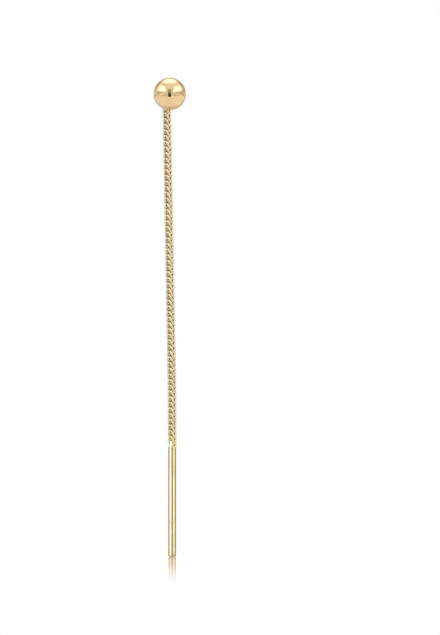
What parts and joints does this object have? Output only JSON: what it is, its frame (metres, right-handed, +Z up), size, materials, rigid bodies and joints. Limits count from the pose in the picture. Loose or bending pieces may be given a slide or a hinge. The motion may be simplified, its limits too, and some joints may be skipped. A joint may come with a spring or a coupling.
{
  "type": "threader earring",
  "caption": "Threader earring: a polished ball, a fine loop-in-loop chain hanging from the link soldered behind it, and a slim round bar at the chain's foot.",
  "frame": {"origin": "middle of the end link behind the ball, where the earring sits in the ear hole and hangs from it", "axes": "+Z up along the hanging chain, -Y to the front, where the ball faces, +X to the viewer's right"},
  "size_m": [0.004, 0.0053, 0.0586],
  "materials": {
    "polished_gold": "mirror-polished pale yellow gold plate",
    "chain_gold": "bright pale yellow gold plate on drawn round wire"
  },
  "bodies": {
    "root": {"ball": "polished_gold", "chain": "chain_gold", "bar": "polished_gold"}
  },
  "joints": []
}
